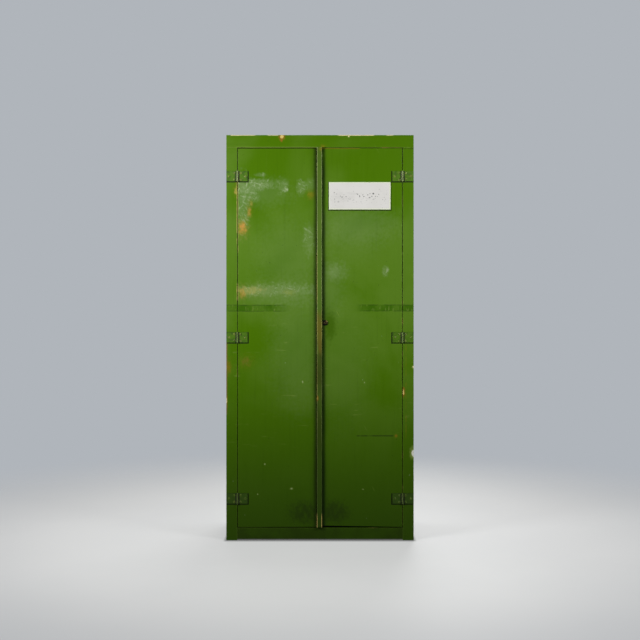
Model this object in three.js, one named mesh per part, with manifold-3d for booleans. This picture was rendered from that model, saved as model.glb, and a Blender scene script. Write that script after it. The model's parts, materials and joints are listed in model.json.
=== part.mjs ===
// Standpipe cabinet: a tall two-door wooden cabinet, painted green, for fire-service standpipes and hoses.
// Millimetres. +X is the viewer's right, +Y goes from the doors to the back, +Z is up.
// The origin is on the floor, under the middle of the cabinet's whole depth, meeting strip included.

import * as THREE from 'three';
import { mergeVertices } from 'three/addons/utils/BufferGeometryUtils.js';
import Module from 'manifold-3d';

const wasm = await Module();
wasm.setup();

// ---------- driving dimensions ----------

// Carcass
const WIDTH = 925;
const HEIGHT = 2000;
const DEPTH = 450;
const BOARD = 20;
const BACK_BOARD = 12;
const BACK_BOARD_COUNT = 3;
const BACK_BOARD_GAP = 1;
const BACK_LIFT = 20;

// Face frame around the doors
const FRAME_THICK = 24;
const STILE_WIDTH = 54;
const TOP_RAIL_HEIGHT = 62;
const BOTTOM_RAIL = [6, 62];
const FLOOR_TOP = 80;

// Doors
const DOOR_GAP = 3;
const SKIN_THICK = 6;
const DOOR_FRAME_THICK = 17.5;
const DOOR_STILE_WIDTH = 60;
const DOOR_TOP_RAIL = 80;
const DOOR_MIDDLE_RAIL = [950, 1050];
const DOOR_BOTTOM_RAIL = 100;

// Meeting strip, planted along the right door's meeting edge
const STRIP_WIDTH = 25.5;
const STRIP_PROUD = 15;
const STRIP_EASE = 3;
const STRIP_Z = [66, 1939];

// Name plate
const LABEL_X = [44, 348];
const LABEL_Z = [1632, 1767];
const LABEL_THICK = 2;

// Backflap hinges, planted on the faces of the door and the frame
const HINGE_Z = { bottom: 206, middle: 1001, top: 1796 };
const HINGE_HEIGHT = 50;
const LEAF_THICK = 2.5;
const LEAF_SETBACK = 5.5;
const LEAF_JOIN = 1.5;
const FRAME_LEAF_REACH = 55;
const DOOR_LEAF_REACH = 50;
const BARREL_RADIUS = 5;
const BARREL_STANDOFF = 0.3;
const KNUCKLE_COUNT = 5;
const KNUCKLE_GAP = 0.5;
const PIN_RADIUS = 2.2;
const PIN_BORE = 2.5;
const PIN_HEAD_RADIUS = 3.6;
const PIN_HEAD_HEIGHT = 1.5;
const PIN_HEAD_GAP = 0.3;

// Rim lock on the back of the right door
const LOCK_X = 25;
const LOCK_Z = 1074;
const ROSETTE_RADIUS = 13.5;
const ROSETTE_THICK = 4;
const PLUG_RADIUS = 8;
const PLUG_HOLE = 8.4;
const PLUG_PROUD = 1;
const KEY_SLOT = { width: 10, height: 1.8, depth: 8, drop: 1 };
const DRIVE_RADIUS = 9;
const DRIVE_DISC = { radius: 12, thick: 2, gap: 0.3 };
const DRIVE_PIN = { radius: 2, length: 11 };
const CASE_WALL = 2.5;
const CASE_X = [-11.5, 52];
const CASE_Z = [LOCK_Z - 28, LOCK_Z + 24];
const CASE_DEPTH = 17.5;
const LOCK_BOLT_X = [-11, 43];
const LOCK_BOLT_Z = [LOCK_Z - 15.5, LOCK_Z + 8];
const LOCK_BOLT_BEHIND = [3, 12];
const LOCK_BOLT_CLEAR = 0.5;
const DRIVE_SLOT = { halfWidth: 4.3, z: [LOCK_Z - 11.6, LOCK_Z + 2.7] };
const KEEPER_X = [-50.5, -20.5];
const KEEPER_Z = [LOCK_Z - 22, LOCK_Z + 14.5];
const KEEPER_DEPTH = 17.5;
const KEEPER_WALL = 4.5;
const KEEPER_CLEAR = 2;

// Barrel bolts on the back of the left door, drawn back
const ROD_X = -48.5;
const ROD_BEHIND = 11.5;
const ROD_RADIUS = 5;
const ROD_BORE = 5.4;
const ROD_LENGTH = 160;
const ROD_TIP_GAP = 3;
const ROD_KEEPER_RADIUS = 6;
const ROD_KEEPER_DEPTH = 30;
const ROD_KNOB = { radius: 4, length: 18 };
const GUIDE_PLATE = { width: 36, height: 120, thick: 2, tipGap: 23 };
const GUIDE_LOOP = { width: 20, height: 12, depth: 17 };

// Stop for the top of the doors
const STOP_OVERLAP = 17;
const STOP_DEPTH = 30;

// Fittings inside
const SHELF_Z = 1440;
const SHELF_SETBACK = 43.5;
const CLEAT = { width: 20, height: 30 };
const RACK_Z = 1000;
const RACK_THICK = 18;
const RACK_DEPTH = 110;
const RACK_NOTCH = { count: 4, pitch: 200, width: 70, depth: 75 };

// Facets on round pieces
const FACETS = { barrel: 16, bore: 12, rod: 16, lock: 28, notch: 10, ease: 3 };

// ---------- planes worked out from the dimensions ----------

const FRONT = STRIP_PROUD - (DEPTH + STRIP_PROUD) / 2;
const BACK = FRONT + DEPTH;
const BACK_INNER = BACK - BACK_BOARD;
const FRAME_BACK = FRONT + FRAME_THICK;
const SIDE_OUTER = WIDTH / 2;
const SIDE_INNER = SIDE_OUTER - BOARD;
const OPENING_X = SIDE_OUTER - STILE_WIDTH;
const OPENING_TOP = HEIGHT - TOP_RAIL_HEIGHT;
const ROOF_UNDER = HEIGHT - BOARD;
const DOOR_OUTER_X = OPENING_X - DOOR_GAP;
const SKIN_BACK = FRONT + SKIN_THICK;
const DOOR_BACK = SKIN_BACK + DOOR_FRAME_THICK;
const HINGE_X = OPENING_X - DOOR_GAP / 2;
const HINGE_Y = FRONT - BARREL_RADIUS - BARREL_STANDOFF;
const STRIP_X = [-15.5, -15.5 + STRIP_WIDTH];
const STOP_UNDER = OPENING_TOP - STOP_OVERLAP;
const ROD_Y = DOOR_BACK + ROD_BEHIND;

// Each door's corners: x at the hinge and at the meeting edge, z of the top, and z of the bottom at both edges.
// The right door's bottom edge was trimmed out of square, so its gap widens towards the meeting edge.
const LEFT_DOOR = {
  side: -1, hinge: -DOOR_OUTER_X, meeting: STRIP_X[0] - DOOR_GAP, top: 1933.5, bottomHinge: 64.5, bottomMeeting: 66,
};
const RIGHT_DOOR = {
  side: 1, hinge: DOOR_OUTER_X, meeting: STRIP_X[0], top: 1935, bottomHinge: 65.5, bottomMeeting: 73,
};

// ---------- materials ----------

const surface = (color, roughness, metalness) => new THREE.MeshStandardMaterial({ color, roughness, metalness });
const paintedWood = () => surface(0x4f7a1c, 0.45, 0);
const innerWood = () => surface(0xb48a54, 0.75, 0);
const paintedSteel = () => surface(0x47701a, 0.4, 0.2);
const plainSteel = () => surface(0x6f6c66, 0.4, 0.9);
const darkMetal = () => surface(0x2b2620, 0.4, 0.8);
const labelPaint = () => surface(0xd6d5d0, 0.5, 0);

// ---------- geometry helpers ----------

// A box between two values on each axis.
function box([x0, x1], [y0, y1], [z0, z1]) {
  const geometry = new THREE.BoxGeometry(x1 - x0, y1 - y0, z1 - z0);
  return geometry.translate((x0 + x1) / 2, (y0 + y1) / 2, (z0 + z1) / 2);
}

// An outline drawn in X and Y, raised from z0 to z1.
function raised(shape, [z0, z1], facets = FACETS.ease) {
  const geometry = new THREE.ExtrudeGeometry(shape, { depth: z1 - z0, bevelEnabled: false, curveSegments: facets });
  return geometry.translate(0, 0, z0);
}

// An outline drawn in X and Z, from the plane y0 back to the plane y1.
function upright(shape, [y0, y1], facets) {
  const geometry = new THREE.ExtrudeGeometry(shape, { depth: y1 - y0, bevelEnabled: false, curveSegments: facets });
  const turn = new THREE.Matrix4().makeBasis(
    new THREE.Vector3(1, 0, 0), new THREE.Vector3(0, 0, 1), new THREE.Vector3(0, -1, 0));
  return geometry.applyMatrix4(turn).translate(0, y1, 0);
}

function circle(Kind, x, y, radius) {
  const outline = new Kind();
  outline.absarc(x, y, radius, 0, 2 * Math.PI, false);
  return outline;
}

// A round bar along Z, and one along Y.
const barUp = (x, y, radius, span, facets) => raised(circle(THREE.Shape, x, y, radius), span, facets / 2);
const barBack = (x, z, radius, span, facets) => upright(circle(THREE.Shape, x, z, radius), span, facets / 2);

function toSolid(geometry) {
  const bare = geometry.clone();
  bare.deleteAttribute('normal');
  bare.deleteAttribute('uv');
  const merged = mergeVertices(bare, 1e-4);
  const vertProperties = new Float32Array(merged.attributes.position.array);
  const triVerts = new Uint32Array(merged.index.array);
  return new wasm.Manifold(new wasm.Mesh({ numProp: 3, vertProperties, triVerts }));
}

// The first list of geometries joined together, with the second list cut away.
function carved(joined, cuts = []) {
  let solid = toSolid(joined[0]);
  joined.slice(1).forEach((geometry) => {
    solid = solid.add(toSolid(geometry));
  });
  cuts.forEach((geometry) => {
    solid = solid.subtract(toSolid(geometry));
  });
  const mesh = solid.getMesh();
  const geometry = new THREE.BufferGeometry();
  geometry.setAttribute('position', new THREE.BufferAttribute(mesh.vertProperties, 3));
  geometry.setIndex(new THREE.BufferAttribute(mesh.triVerts, 1));
  geometry.computeVertexNormals();
  return geometry;
}

function piece(name, geometry, material) {
  const mesh = new THREE.Mesh(geometry, material);
  mesh.name = name;
  return mesh;
}

const mirrored = (side, [near, far]) => (side > 0 ? [near, far] : [-far, -near]);
const sideName = (side) => (side > 0 ? 'right' : 'left');

// ---------- carcass ----------

function sidePanel(side) {
  const shape = box(mirrored(side, [SIDE_INNER, SIDE_OUTER]), [FRAME_BACK, BACK_INNER], [0, ROOF_UNDER]);
  return piece(`side_panel_${sideName(side)}`, shape, paintedWood());
}

function topPanel() {
  const shape = box([-SIDE_OUTER, SIDE_OUTER], [FRAME_BACK, BACK_INNER], [ROOF_UNDER, HEIGHT]);
  return piece('top_panel', shape, paintedWood());
}

// The floor panel's front edge stands behind the doors' lower edges and stops them.
function floorPanel() {
  const panel = box([-SIDE_INNER, SIDE_INNER], [FRAME_BACK, BACK_INNER], [FLOOR_TOP - BOARD, FLOOR_TOP]);
  const keeper = barUp(ROD_X, ROD_Y, ROD_KEEPER_RADIUS, [0, HEIGHT / 2], FACETS.rod);
  return piece('floor_panel', carved([panel], [keeper]), innerWood());
}

function backBoards() {
  const pitch = (WIDTH + BACK_BOARD_GAP) / BACK_BOARD_COUNT;
  return Array.from({ length: BACK_BOARD_COUNT }, (_, index) => {
    const x0 = index * pitch - SIDE_OUTER;
    const shape = box([x0, x0 + pitch - BACK_BOARD_GAP], [BACK_INNER, BACK], [BACK_LIFT, HEIGHT]);
    return piece(`back_board_${index + 1}`, shape, paintedWood());
  });
}

function frameStile(side) {
  const shape = box(mirrored(side, [OPENING_X, SIDE_OUTER]), [FRONT, FRAME_BACK], [0, OPENING_TOP]);
  return piece(`frame_stile_${sideName(side)}`, shape, paintedWood());
}

function frameRails() {
  const top = box([-SIDE_OUTER, SIDE_OUTER], [FRONT, FRAME_BACK], [OPENING_TOP, HEIGHT]);
  const bottom = box([-OPENING_X, OPENING_X], [FRONT, FRAME_BACK], BOTTOM_RAIL);
  return [piece('frame_rail_top', top, paintedWood()), piece('frame_rail_bottom', bottom, paintedWood())];
}

// A batten behind the top rail, lapping the doors' upper edges, with a blind hole for the upper bolt.
function doorStop() {
  const batten = box([-SIDE_INNER, SIDE_INNER], [FRAME_BACK, FRAME_BACK + STOP_DEPTH], [STOP_UNDER, ROOF_UNDER]);
  const hole = barUp(ROD_X, ROD_Y, ROD_KEEPER_RADIUS, [0, STOP_UNDER + ROD_KEEPER_DEPTH], FACETS.rod);
  return piece('door_stop_top', carved([batten], [hole]), innerWood());
}

// ---------- fittings inside ----------

function cleat(name, side, front, top) {
  const span = mirrored(side, [SIDE_INNER - CLEAT.width, SIDE_INNER]);
  return piece(`${name}_${sideName(side)}`, box(span, [front, BACK_INNER], [top - CLEAT.height, top]), innerWood());
}

function upperShelf() {
  const front = FRAME_BACK + SHELF_SETBACK;
  const shelf = box([-SIDE_INNER, SIDE_INNER], [front, BACK_INNER], [SHELF_Z, SHELF_Z + BOARD]);
  const cleats = [-1, 1].map((side) => cleat('shelf_cleat', side, front, SHELF_Z));
  return [piece('upper_shelf', shelf, innerWood()), ...cleats];
}

// A rail across the back with a row of round-ended notches, open to the front, that hold standpipes upright.
function standpipeRack() {
  const front = BACK_INNER - RACK_DEPTH;
  const radius = RACK_NOTCH.width / 2;
  const shape = new THREE.Shape();
  shape.moveTo(-SIDE_INNER, BACK_INNER);
  shape.lineTo(-SIDE_INNER, front);
  for (let index = 0; index < RACK_NOTCH.count; index += 1) {
    const x = (index - (RACK_NOTCH.count - 1) / 2) * RACK_NOTCH.pitch;
    shape.lineTo(x - radius, front);
    shape.absarc(x, front + RACK_NOTCH.depth - radius, radius, Math.PI, 0, true);
    shape.lineTo(x + radius, front);
  }
  shape.lineTo(SIDE_INNER, front);
  shape.lineTo(SIDE_INNER, BACK_INNER);
  shape.closePath();
  const rail = raised(shape, [RACK_Z, RACK_Z + RACK_THICK], FACETS.notch);
  const cleats = [-1, 1].map((side) => cleat('rack_cleat', side, front, RACK_Z));
  return [piece('rack_rail', rail, innerWood()), ...cleats];
}

// ---------- doors ----------

// Height of a door's trimmed bottom edge at x.
function doorBottom(door, x) {
  const share = (x - door.hinge) / (door.meeting - door.hinge);
  return door.bottomHinge + share * (door.bottomMeeting - door.bottomHinge);
}

// A stretch of the door between two x values, from the trimmed bottom edge up to a height.
function doorOutline(door, x0, x1, top) {
  const shape = new THREE.Shape();
  shape.moveTo(x0, doorBottom(door, x0));
  shape.lineTo(x1, doorBottom(door, x1));
  shape.lineTo(x1, top);
  shape.lineTo(x0, top);
  shape.closePath();
  return shape;
}

function addPlugHole(shape) {
  shape.holes.push(circle(THREE.Path, LOCK_X, LOCK_Z, PLUG_HOLE));
  return shape;
}

function doorBoards(door) {
  const name = `${sideName(door.side)}_door`;
  const inner = [SKIN_BACK, DOOR_BACK];
  const [x0, x1] = [Math.min(door.hinge, door.meeting), Math.max(door.hinge, door.meeting)];
  const [rail0, rail1] = [x0 + DOOR_STILE_WIDTH, x1 - DOOR_STILE_WIDTH];
  const skin = doorOutline(door, x0, x1, door.top);
  const outerStile = door.side > 0 ? doorOutline(door, rail1, x1, door.top) : doorOutline(door, x0, rail0, door.top);
  const meetingStile = door.side > 0 ? doorOutline(door, x0, rail0, door.top) : doorOutline(door, rail1, x1, door.top);
  if (door.side > 0) {
    addPlugHole(skin);
    addPlugHole(meetingStile);
  }
  const bottomRail = doorOutline(door, rail0, rail1, door.bottomMeeting + DOOR_BOTTOM_RAIL);
  return [
    piece(`${name}_skin`, upright(skin, [FRONT, SKIN_BACK], FACETS.lock / 2), paintedWood()),
    piece(`${name}_hinge_stile`, upright(outerStile, inner, FACETS.lock / 2), innerWood()),
    piece(`${name}_meeting_stile`, upright(meetingStile, inner, FACETS.lock / 2), innerWood()),
    piece(`${name}_top_rail`, box([rail0, rail1], inner, [door.top - DOOR_TOP_RAIL, door.top]), innerWood()),
    piece(`${name}_middle_rail`, box([rail0, rail1], inner, DOOR_MIDDLE_RAIL), innerWood()),
    piece(`${name}_bottom_rail`, upright(bottomRail, inner, FACETS.lock / 2), innerWood()),
  ];
}

// Section: square at the back, with eased arrises at the front.
function meetingStrip() {
  const [x0, x1] = STRIP_X;
  const nose = FRONT - STRIP_PROUD;
  const shape = new THREE.Shape();
  shape.moveTo(x0, FRONT);
  shape.lineTo(x0, nose + STRIP_EASE);
  shape.absarc(x0 + STRIP_EASE, nose + STRIP_EASE, STRIP_EASE, Math.PI, 1.5 * Math.PI, false);
  shape.absarc(x1 - STRIP_EASE, nose + STRIP_EASE, STRIP_EASE, 1.5 * Math.PI, 2 * Math.PI, false);
  shape.lineTo(x1, FRONT);
  shape.closePath();
  return piece('meeting_strip', raised(shape, STRIP_Z), paintedWood());
}

function labelPlate() {
  return piece('label_plate', box(LABEL_X, [FRONT - LABEL_THICK, FRONT], LABEL_Z), labelPaint());
}

// ---------- hinges ----------

// The z span of one knuckle of a hinge whose middle is at z.
function knuckleSpan(z, index) {
  const pitch = HINGE_HEIGHT / KNUCKLE_COUNT;
  const z0 = z - HINGE_HEIGHT / 2 + index * pitch;
  return [z0 + KNUCKLE_GAP / 2, z0 + pitch - KNUCKLE_GAP / 2];
}

// One leaf with its share of the knuckles; direction is +1 for a leaf that lies towards +X from the pin.
function hingeLeaf(name, side, direction, z, reach, firstKnuckle) {
  const pinX = side * HINGE_X;
  const away = (near, far) => (direction > 0 ? [pinX + near, pinX + far] : [pinX - far, pinX - near]);
  const depth = [FRONT - LEAF_THICK, FRONT];
  const joined = [box(away(LEAF_SETBACK, reach), depth, [z - HINGE_HEIGHT / 2, z + HINGE_HEIGHT / 2])];
  for (let index = firstKnuckle; index < KNUCKLE_COUNT; index += 2) {
    const span = knuckleSpan(z, index);
    joined.push(barUp(pinX, HINGE_Y, BARREL_RADIUS, span, FACETS.barrel));
    joined.push(box(away(LEAF_JOIN, LEAF_SETBACK + 1), [FRONT - LEAF_THICK, FRONT - BARREL_STANDOFF], span));
  }
  const bore = barUp(pinX, HINGE_Y, PIN_BORE, [z - HINGE_HEIGHT, z + HINGE_HEIGHT], FACETS.bore);
  return piece(name, carved(joined, [bore]), paintedSteel());
}

// A pin through all the knuckles, with a head at each end.
function hingePin(name, side, z) {
  const half = HINGE_HEIGHT / 2 + PIN_HEAD_GAP;
  const profile = [
    new THREE.Vector2(0, -half - PIN_HEAD_HEIGHT),
    new THREE.Vector2(PIN_HEAD_RADIUS, -half - PIN_HEAD_HEIGHT),
    new THREE.Vector2(PIN_HEAD_RADIUS, -half),
    new THREE.Vector2(PIN_RADIUS, -half),
    new THREE.Vector2(PIN_RADIUS, half),
    new THREE.Vector2(PIN_HEAD_RADIUS, half),
    new THREE.Vector2(PIN_HEAD_RADIUS, half + PIN_HEAD_HEIGHT),
    new THREE.Vector2(0, half + PIN_HEAD_HEIGHT),
  ];
  const pin = piece(name, new THREE.LatheGeometry(profile, FACETS.bore), paintedSteel());
  pin.rotation.x = Math.PI / 2;
  pin.position.set(side * HINGE_X, HINGE_Y, z);
  return pin;
}

function hinge(side, place) {
  const z = HINGE_Z[place];
  const name = `${sideName(side)}_${place}`;
  return {
    frameLeaf: hingeLeaf(`hinge_frame_leaf_${name}`, side, side, z, FRAME_LEAF_REACH, 0),
    pin: hingePin(`hinge_pin_${name}`, side, z),
    doorLeaf: hingeLeaf(`hinge_door_leaf_${name}`, side, -side, z, DOOR_LEAF_REACH, 1),
  };
}

// ---------- lock on the right door ----------

function lockRosette() {
  const shape = addPlugHole(circle(THREE.Shape, LOCK_X, LOCK_Z, ROSETTE_RADIUS));
  return piece('lock_rosette', upright(shape, [FRONT - ROSETTE_THICK, FRONT], FACETS.lock / 2), darkMetal());
}

// Turned by the key; the pin on its inner disc drives the bolt through a slot.
function lockPlug() {
  const face = FRONT - ROSETTE_THICK - PLUG_PROUD;
  const disc = DOOR_BACK + DRIVE_DISC.gap;
  const discBack = disc + DRIVE_DISC.thick;
  const slotZ = LOCK_Z - KEY_SLOT.drop;
  const joined = [
    barBack(LOCK_X, LOCK_Z, PLUG_RADIUS, [face, disc + 1], FACETS.lock),
    barBack(LOCK_X, LOCK_Z, DRIVE_DISC.radius, [disc, discBack], FACETS.lock),
    barBack(LOCK_X + DRIVE_RADIUS, LOCK_Z, DRIVE_PIN.radius, [disc + 1, discBack + DRIVE_PIN.length], FACETS.bore),
  ];
  const keySlot = box(
    [LOCK_X - KEY_SLOT.width / 2, LOCK_X + KEY_SLOT.width / 2],
    [face - 1, face + KEY_SLOT.depth],
    [slotZ - KEY_SLOT.height / 2, slotZ + KEY_SLOT.height / 2]);
  return piece('lock_plug', carved(joined, [keySlot]), darkMetal());
}

// The depth span of the bolt behind the door's back, widened by a clearance.
const boltDepth = (clear) => [DOOR_BACK + LOCK_BOLT_BEHIND[0] - clear, DOOR_BACK + LOCK_BOLT_BEHIND[1] + clear];
const widened = ([low, high], clear) => [low - clear, high + clear];

// A box open towards the door, with a slot in its meeting side for the bolt.
function lockCase() {
  const shell = box(CASE_X, [DOOR_BACK, DOOR_BACK + CASE_DEPTH], CASE_Z);
  const hollow = box(
    widened(CASE_X, -CASE_WALL), [DOOR_BACK - 1, DOOR_BACK + CASE_DEPTH - CASE_WALL], widened(CASE_Z, -CASE_WALL));
  const mouth = box(
    [CASE_X[0] - 1, CASE_X[0] + CASE_WALL + 1], boltDepth(LOCK_BOLT_CLEAR), widened(LOCK_BOLT_Z, LOCK_BOLT_CLEAR));
  return piece('lock_case', carved([shell], [hollow, mouth]), plainSteel());
}

function lockBolt() {
  const bar = box(LOCK_BOLT_X, boltDepth(0), LOCK_BOLT_Z);
  const slotX = LOCK_X + DRIVE_RADIUS;
  const slot = box(widened([slotX, slotX], DRIVE_SLOT.halfWidth), boltDepth(1), DRIVE_SLOT.z);
  return piece('lock_bolt', carved([bar], [slot]), plainSteel());
}

// ---------- bolts and keeper on the left door ----------

// A box open towards the right door, which takes the nose of the lock's bolt.
function lockKeeper() {
  const block = box(KEEPER_X, [DOOR_BACK, DOOR_BACK + KEEPER_DEPTH], KEEPER_Z);
  const pocket = box(
    [KEEPER_X[0] + KEEPER_WALL, KEEPER_X[1] + 1], boltDepth(KEEPER_CLEAR), widened(LOCK_BOLT_Z, KEEPER_CLEAR));
  return piece('lock_keeper', carved([block], [pocket]), plainSteel());
}

// direction is +1 for the upper bolt, which shoots up, and -1 for the lower one.
function barrelBolt(name, direction, tip) {
  const up = (near, far) => (direction > 0 ? [tip - far, tip - near] : [tip + near, tip + far]);
  const plateSpan = up(GUIDE_PLATE.tipGap, GUIDE_PLATE.tipGap + GUIDE_PLATE.height);
  const plateBack = DOOR_BACK + GUIDE_PLATE.thick;
  const loopX = widened([ROD_X, ROD_X], GUIDE_LOOP.width / 2);
  const joined = [box(widened([ROD_X, ROD_X], GUIDE_PLATE.width / 2), [DOOR_BACK, plateBack], plateSpan)];
  [plateSpan[0], plateSpan[1] - GUIDE_LOOP.height].forEach((z) => {
    joined.push(box(loopX, [plateBack - 1, plateBack + GUIDE_LOOP.depth], [z, z + GUIDE_LOOP.height]));
  });
  const bore = barUp(ROD_X, ROD_Y, ROD_BORE, [plateSpan[0] - 1, plateSpan[1] + 1], FACETS.rod);
  const rodSpan = up(0, ROD_LENGTH);
  const knobZ = (plateSpan[0] + plateSpan[1]) / 2;
  const rod = carved([
    barUp(ROD_X, ROD_Y, ROD_RADIUS, rodSpan, FACETS.rod),
    barBack(ROD_X, knobZ, ROD_KNOB.radius, [ROD_Y, ROD_Y + ROD_KNOB.length], FACETS.bore),
  ]);
  return [piece(`${name}_guide`, carved(joined, [bore]), plainSteel()), piece(name, rod, plainSteel())];
}

// ---------- assembly ----------

const cabinet = new THREE.Group();
const carcass = new THREE.Group();
const leftDoor = new THREE.Group();
const rightDoor = new THREE.Group();

carcass.add(sidePanel(-1), sidePanel(1), topPanel(), floorPanel(), ...backBoards());
carcass.add(frameStile(-1), frameStile(1), ...frameRails(), doorStop());
carcass.add(...upperShelf(), ...standpipeRack());

leftDoor.add(...doorBoards(LEFT_DOOR), lockKeeper());
leftDoor.add(...barrelBolt('upper_bolt', 1, STOP_UNDER - ROD_TIP_GAP));
leftDoor.add(...barrelBolt('lower_bolt', -1, FLOOR_TOP + ROD_TIP_GAP));

rightDoor.add(...doorBoards(RIGHT_DOOR), meetingStrip(), labelPlate());
rightDoor.add(lockRosette(), lockPlug(), lockCase(), lockBolt());

[[-1, leftDoor], [1, rightDoor]].forEach(([side, door]) => {
  Object.keys(HINGE_Z).forEach((place) => {
    const { frameLeaf, pin, doorLeaf } = hinge(side, place);
    carcass.add(frameLeaf, pin);
    door.add(doorLeaf);
  });
});

cabinet.add(carcass, leftDoor, rightDoor);

export default cabinet;
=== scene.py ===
import json
import math
import random

import bmesh
import bpy
from mathutils import Matrix, Vector, noise


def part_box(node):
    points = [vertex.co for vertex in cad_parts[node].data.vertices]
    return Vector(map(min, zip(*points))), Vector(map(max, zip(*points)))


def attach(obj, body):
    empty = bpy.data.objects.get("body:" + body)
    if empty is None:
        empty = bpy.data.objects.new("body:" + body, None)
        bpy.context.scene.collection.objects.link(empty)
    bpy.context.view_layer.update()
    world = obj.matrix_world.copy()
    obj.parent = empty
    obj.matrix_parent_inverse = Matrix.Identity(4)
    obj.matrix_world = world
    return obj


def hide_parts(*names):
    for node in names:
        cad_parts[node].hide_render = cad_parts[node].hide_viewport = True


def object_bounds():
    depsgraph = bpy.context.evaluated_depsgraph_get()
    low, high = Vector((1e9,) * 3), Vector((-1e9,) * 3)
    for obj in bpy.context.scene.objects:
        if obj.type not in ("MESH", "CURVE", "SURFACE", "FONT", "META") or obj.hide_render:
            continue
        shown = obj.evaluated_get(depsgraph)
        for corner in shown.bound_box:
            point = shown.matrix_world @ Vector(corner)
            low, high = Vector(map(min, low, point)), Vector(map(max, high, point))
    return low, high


# The looks of the standpipe cabinet: old green paint over softwood boards, painted hinges with their screws,
# a tarnished lock and a bare inside. Metres, X right, Y back, Z up. Sizes of wear, fixings and marks are in
# millimetres.

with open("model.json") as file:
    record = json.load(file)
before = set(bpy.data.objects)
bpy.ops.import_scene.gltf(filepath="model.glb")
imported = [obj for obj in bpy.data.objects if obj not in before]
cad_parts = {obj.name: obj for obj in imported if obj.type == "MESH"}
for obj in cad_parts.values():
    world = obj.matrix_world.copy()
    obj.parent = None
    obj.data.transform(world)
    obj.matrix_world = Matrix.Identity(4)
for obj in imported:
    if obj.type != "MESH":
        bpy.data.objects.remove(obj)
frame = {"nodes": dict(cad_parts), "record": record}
CAD_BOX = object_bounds()

MM = 0.001

# Camera, in front of the doors and level
CAMERA_DISTANCE = 5.0
CAMERA_HEIGHT = 1.087
CAMERA_LENS = 57.0

# Lights: name, place, target, width, height, power in watts, spread in degrees
LIGHTS = [
    ("key_left", (-1.9, -1.75, 1.9), (-0.15, -0.2, 1.5), 0.9, 0.9, 22.5, 120),
    ("key_right", (1.9, -1.75, 1.95), (0.15, -0.2, 1.5), 0.9, 0.9, 15.2, 120),
    ("top", (0, 0.45, 3.2), (0, 0.1, 2.0), 1.4, 0.8, 7.5, 80),
    ("back", (0.6, 3.2, 2.2), (0, 0.2, 1.1), 1.6, 1.6, 30, 140),
]
ROOM_LIGHT = 0.14
FLOOR_RADIUS = 3.4
FLOOR_BOUNCE = (0.22, 0.22, 0.22, 1)
FLOOR_GLOW = 0.42
# Softness of the painted contact shadow round the object's foot, in metres
CONTACT_SHADOW_SOFTNESS = 0.018

# Wear of the boards' arrises
ARRIS = 1.1
NICK_DEPTH = 0.9
NICK_PITCH = 26
RUB_DEPTH = 8
INNER_ARRIS = 0.8
METAL_ARRIS = 0.35
SHARP = math.radians(40)
WELD = 1e-5

# Fixings
HINGE_SCREW = {"radius": 4.2, "rise": 1.0, "slot": 1.1}
SMALL_SCREW = {"radius": 3.0, "rise": 0.9, "slot": 0.7}
LARGE_SCREW = {"radius": 4.0, "rise": 1.1, "slot": 1.0}
NAIL = {"radius": 3.4, "rise": 0.6, "slot": 0.0}
PEG = {"radius": 4.5, "rise": 0.3, "slot": 0.0}
LEAF = 2.5
GUIDE_PLATE = 2.0
SEAT_MARGIN = 2.0
SEAT_RISE = 0.12
NAIL_INSET = 12
NAIL_ROWS = 12
TAPE_WIDTH = 30

BACK_BOARDS = [f"back_board_{number}" for number in range(1, 4)]
STOPS = ("door_stop_top", "floor_panel")
SIDES = ("left", "right")
LEVELS = ("bottom", "middle", "top")


def tint(*levels):
    """An sRGB colour, 0 to 255, as the linear colour that a shader takes."""
    shares = [level / 255 for level in levels]
    return (*(s / 12.92 if s <= 0.04045 else ((s + 0.055) / 1.055) ** 2.4 for s in shares), 1.0)


# Colours

GREEN_DEEP = tint(76, 118, 0)
GREEN_HAZY = tint(94, 131, 34)
GREEN_DARK = tint(44, 70, 4)
GREEN_WORN = tint(142, 162, 74)
STRIP_ARRIS_WEAR_AND_HIGHLIGHT = tint(156, 170, 100)
STRIP_WOOD = tint(164, 154, 70)
STRIP_GREEN = tint(80, 102, 40)
STRIP_OLIVE = tint(58, 66, 12)
STRIP_BROWN = tint(108, 98, 30)
LOCK_GREEN = tint(62, 100, 0)
GRIME = tint(20, 28, 0)
# Near-black, for painted shadows and shade, and for the dirt round the screw heads
SOOT_AND_SHADE = tint(8, 12, 0)
FOOT_BROWN = tint(30, 36, 2)
CHALK = tint(168, 186, 140)
PALE_WOOD = tint(222, 196, 112)
CREAM = tint(238, 224, 168)
RUB_YELLOW = tint(206, 190, 108)
BARE_WHITE = tint(240, 240, 222)
RUST_BROWN = tint(150, 104, 22)
BRUISE = tint(204, 146, 62)
OLIVE = tint(140, 126, 22)
YELLOWED = tint(184, 166, 80)
TAPE_GREEN = tint(56, 100, 0)
STRIP_SHADE_GREEN = tint(18, 44, 0)
STRIP_SHADE_OLIVE = tint(36, 52, 0)
WOOD_BROWN = tint(132, 104, 44)
PINE_LIGHT = tint(200, 172, 124)
PINE_DARK = tint(158, 120, 76)
KNOT = tint(96, 58, 28)
DUST = tint(156, 153, 138)
KNUCKLE_WEAR_AND_HIGHLIGHT = tint(150, 166, 100)
SCREW_WEAR_AND_GLINT = tint(132, 146, 62)
STEEL_LIGHT = tint(138, 136, 130)
STEEL_DARK = tint(106, 102, 96)
RUST = tint(112, 62, 32)
TARNISH = tint(26, 22, 16)
TARNISH_RUBBED = tint(96, 78, 48)
BRASS = tint(176, 160, 92)
LABEL_WHITE = tint(228, 226, 221)
LABEL_DULL = tint(212, 210, 204)
LABEL_RIM_HIGHLIGHT = tint(232, 242, 204)
LABEL_GREY = tint(62, 62, 60)
FLOOR_LIGHT = tint(176, 177, 176)
FLOOR_DULL = tint(166, 168, 168)
WALL = tint(176, 181, 187)

# Materials

PAINT_SHEEN = 0.19
ALONG = {"x": (0.04, 1, 1), "z": (1, 1, 0.04)}


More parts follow.
